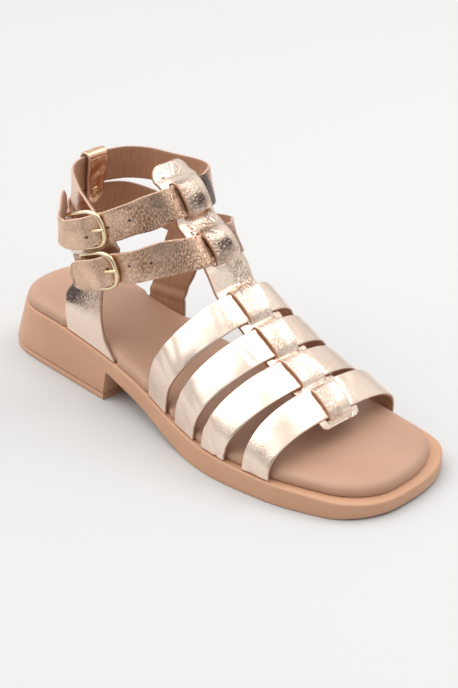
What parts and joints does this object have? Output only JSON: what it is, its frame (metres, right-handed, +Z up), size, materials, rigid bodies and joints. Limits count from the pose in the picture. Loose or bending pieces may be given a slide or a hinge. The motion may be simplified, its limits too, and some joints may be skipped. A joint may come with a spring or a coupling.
{
  "type": "gladiator sandal",
  "caption": "Flat open-toe gladiator sandal with a low block heel, straps woven through a centre strap, two buckled ankle straps and an open-sided heel counter.",
  "frame": {"origin": "middle of the bounding box in plan, on the floor under the sole", "axes": "+X towards the toe, +Y to the inner (medial) side of this right shoe, +Z up"},
  "size_m": [0.2578, 0.0959, 0.1227],
  "materials": {
    "tan_rubber": "satin, tan",
    "nude_leather": "smooth matt, nude",
    "rose_gold_foil": "metallic foil coating, rose gold",
    "pale_gold": "polished, pale gold"
  },
  "bodies": {
    "root": {"outsole": "tan_rubber", "heel_toplift": "tan_rubber", "insole": "nude_leather", "upper": "rose_gold_foil", "ankle_strap_upper": "rose_gold_foil", "ankle_strap_lower": "rose_gold_foil", "buckle_tab_upper": "rose_gold_foil", "buckle_tab_lower": "rose_gold_foil", "counter_band": "rose_gold_foil", "back_loop": "rose_gold_foil", "back_rivet": "pale_gold", "buckle_frame_upper": "pale_gold", "buckle_frame_lower": "pale_gold", "buckle_prong_upper": "pale_gold", "buckle_prong_lower": "pale_gold"}
  },
  "joints": []
}
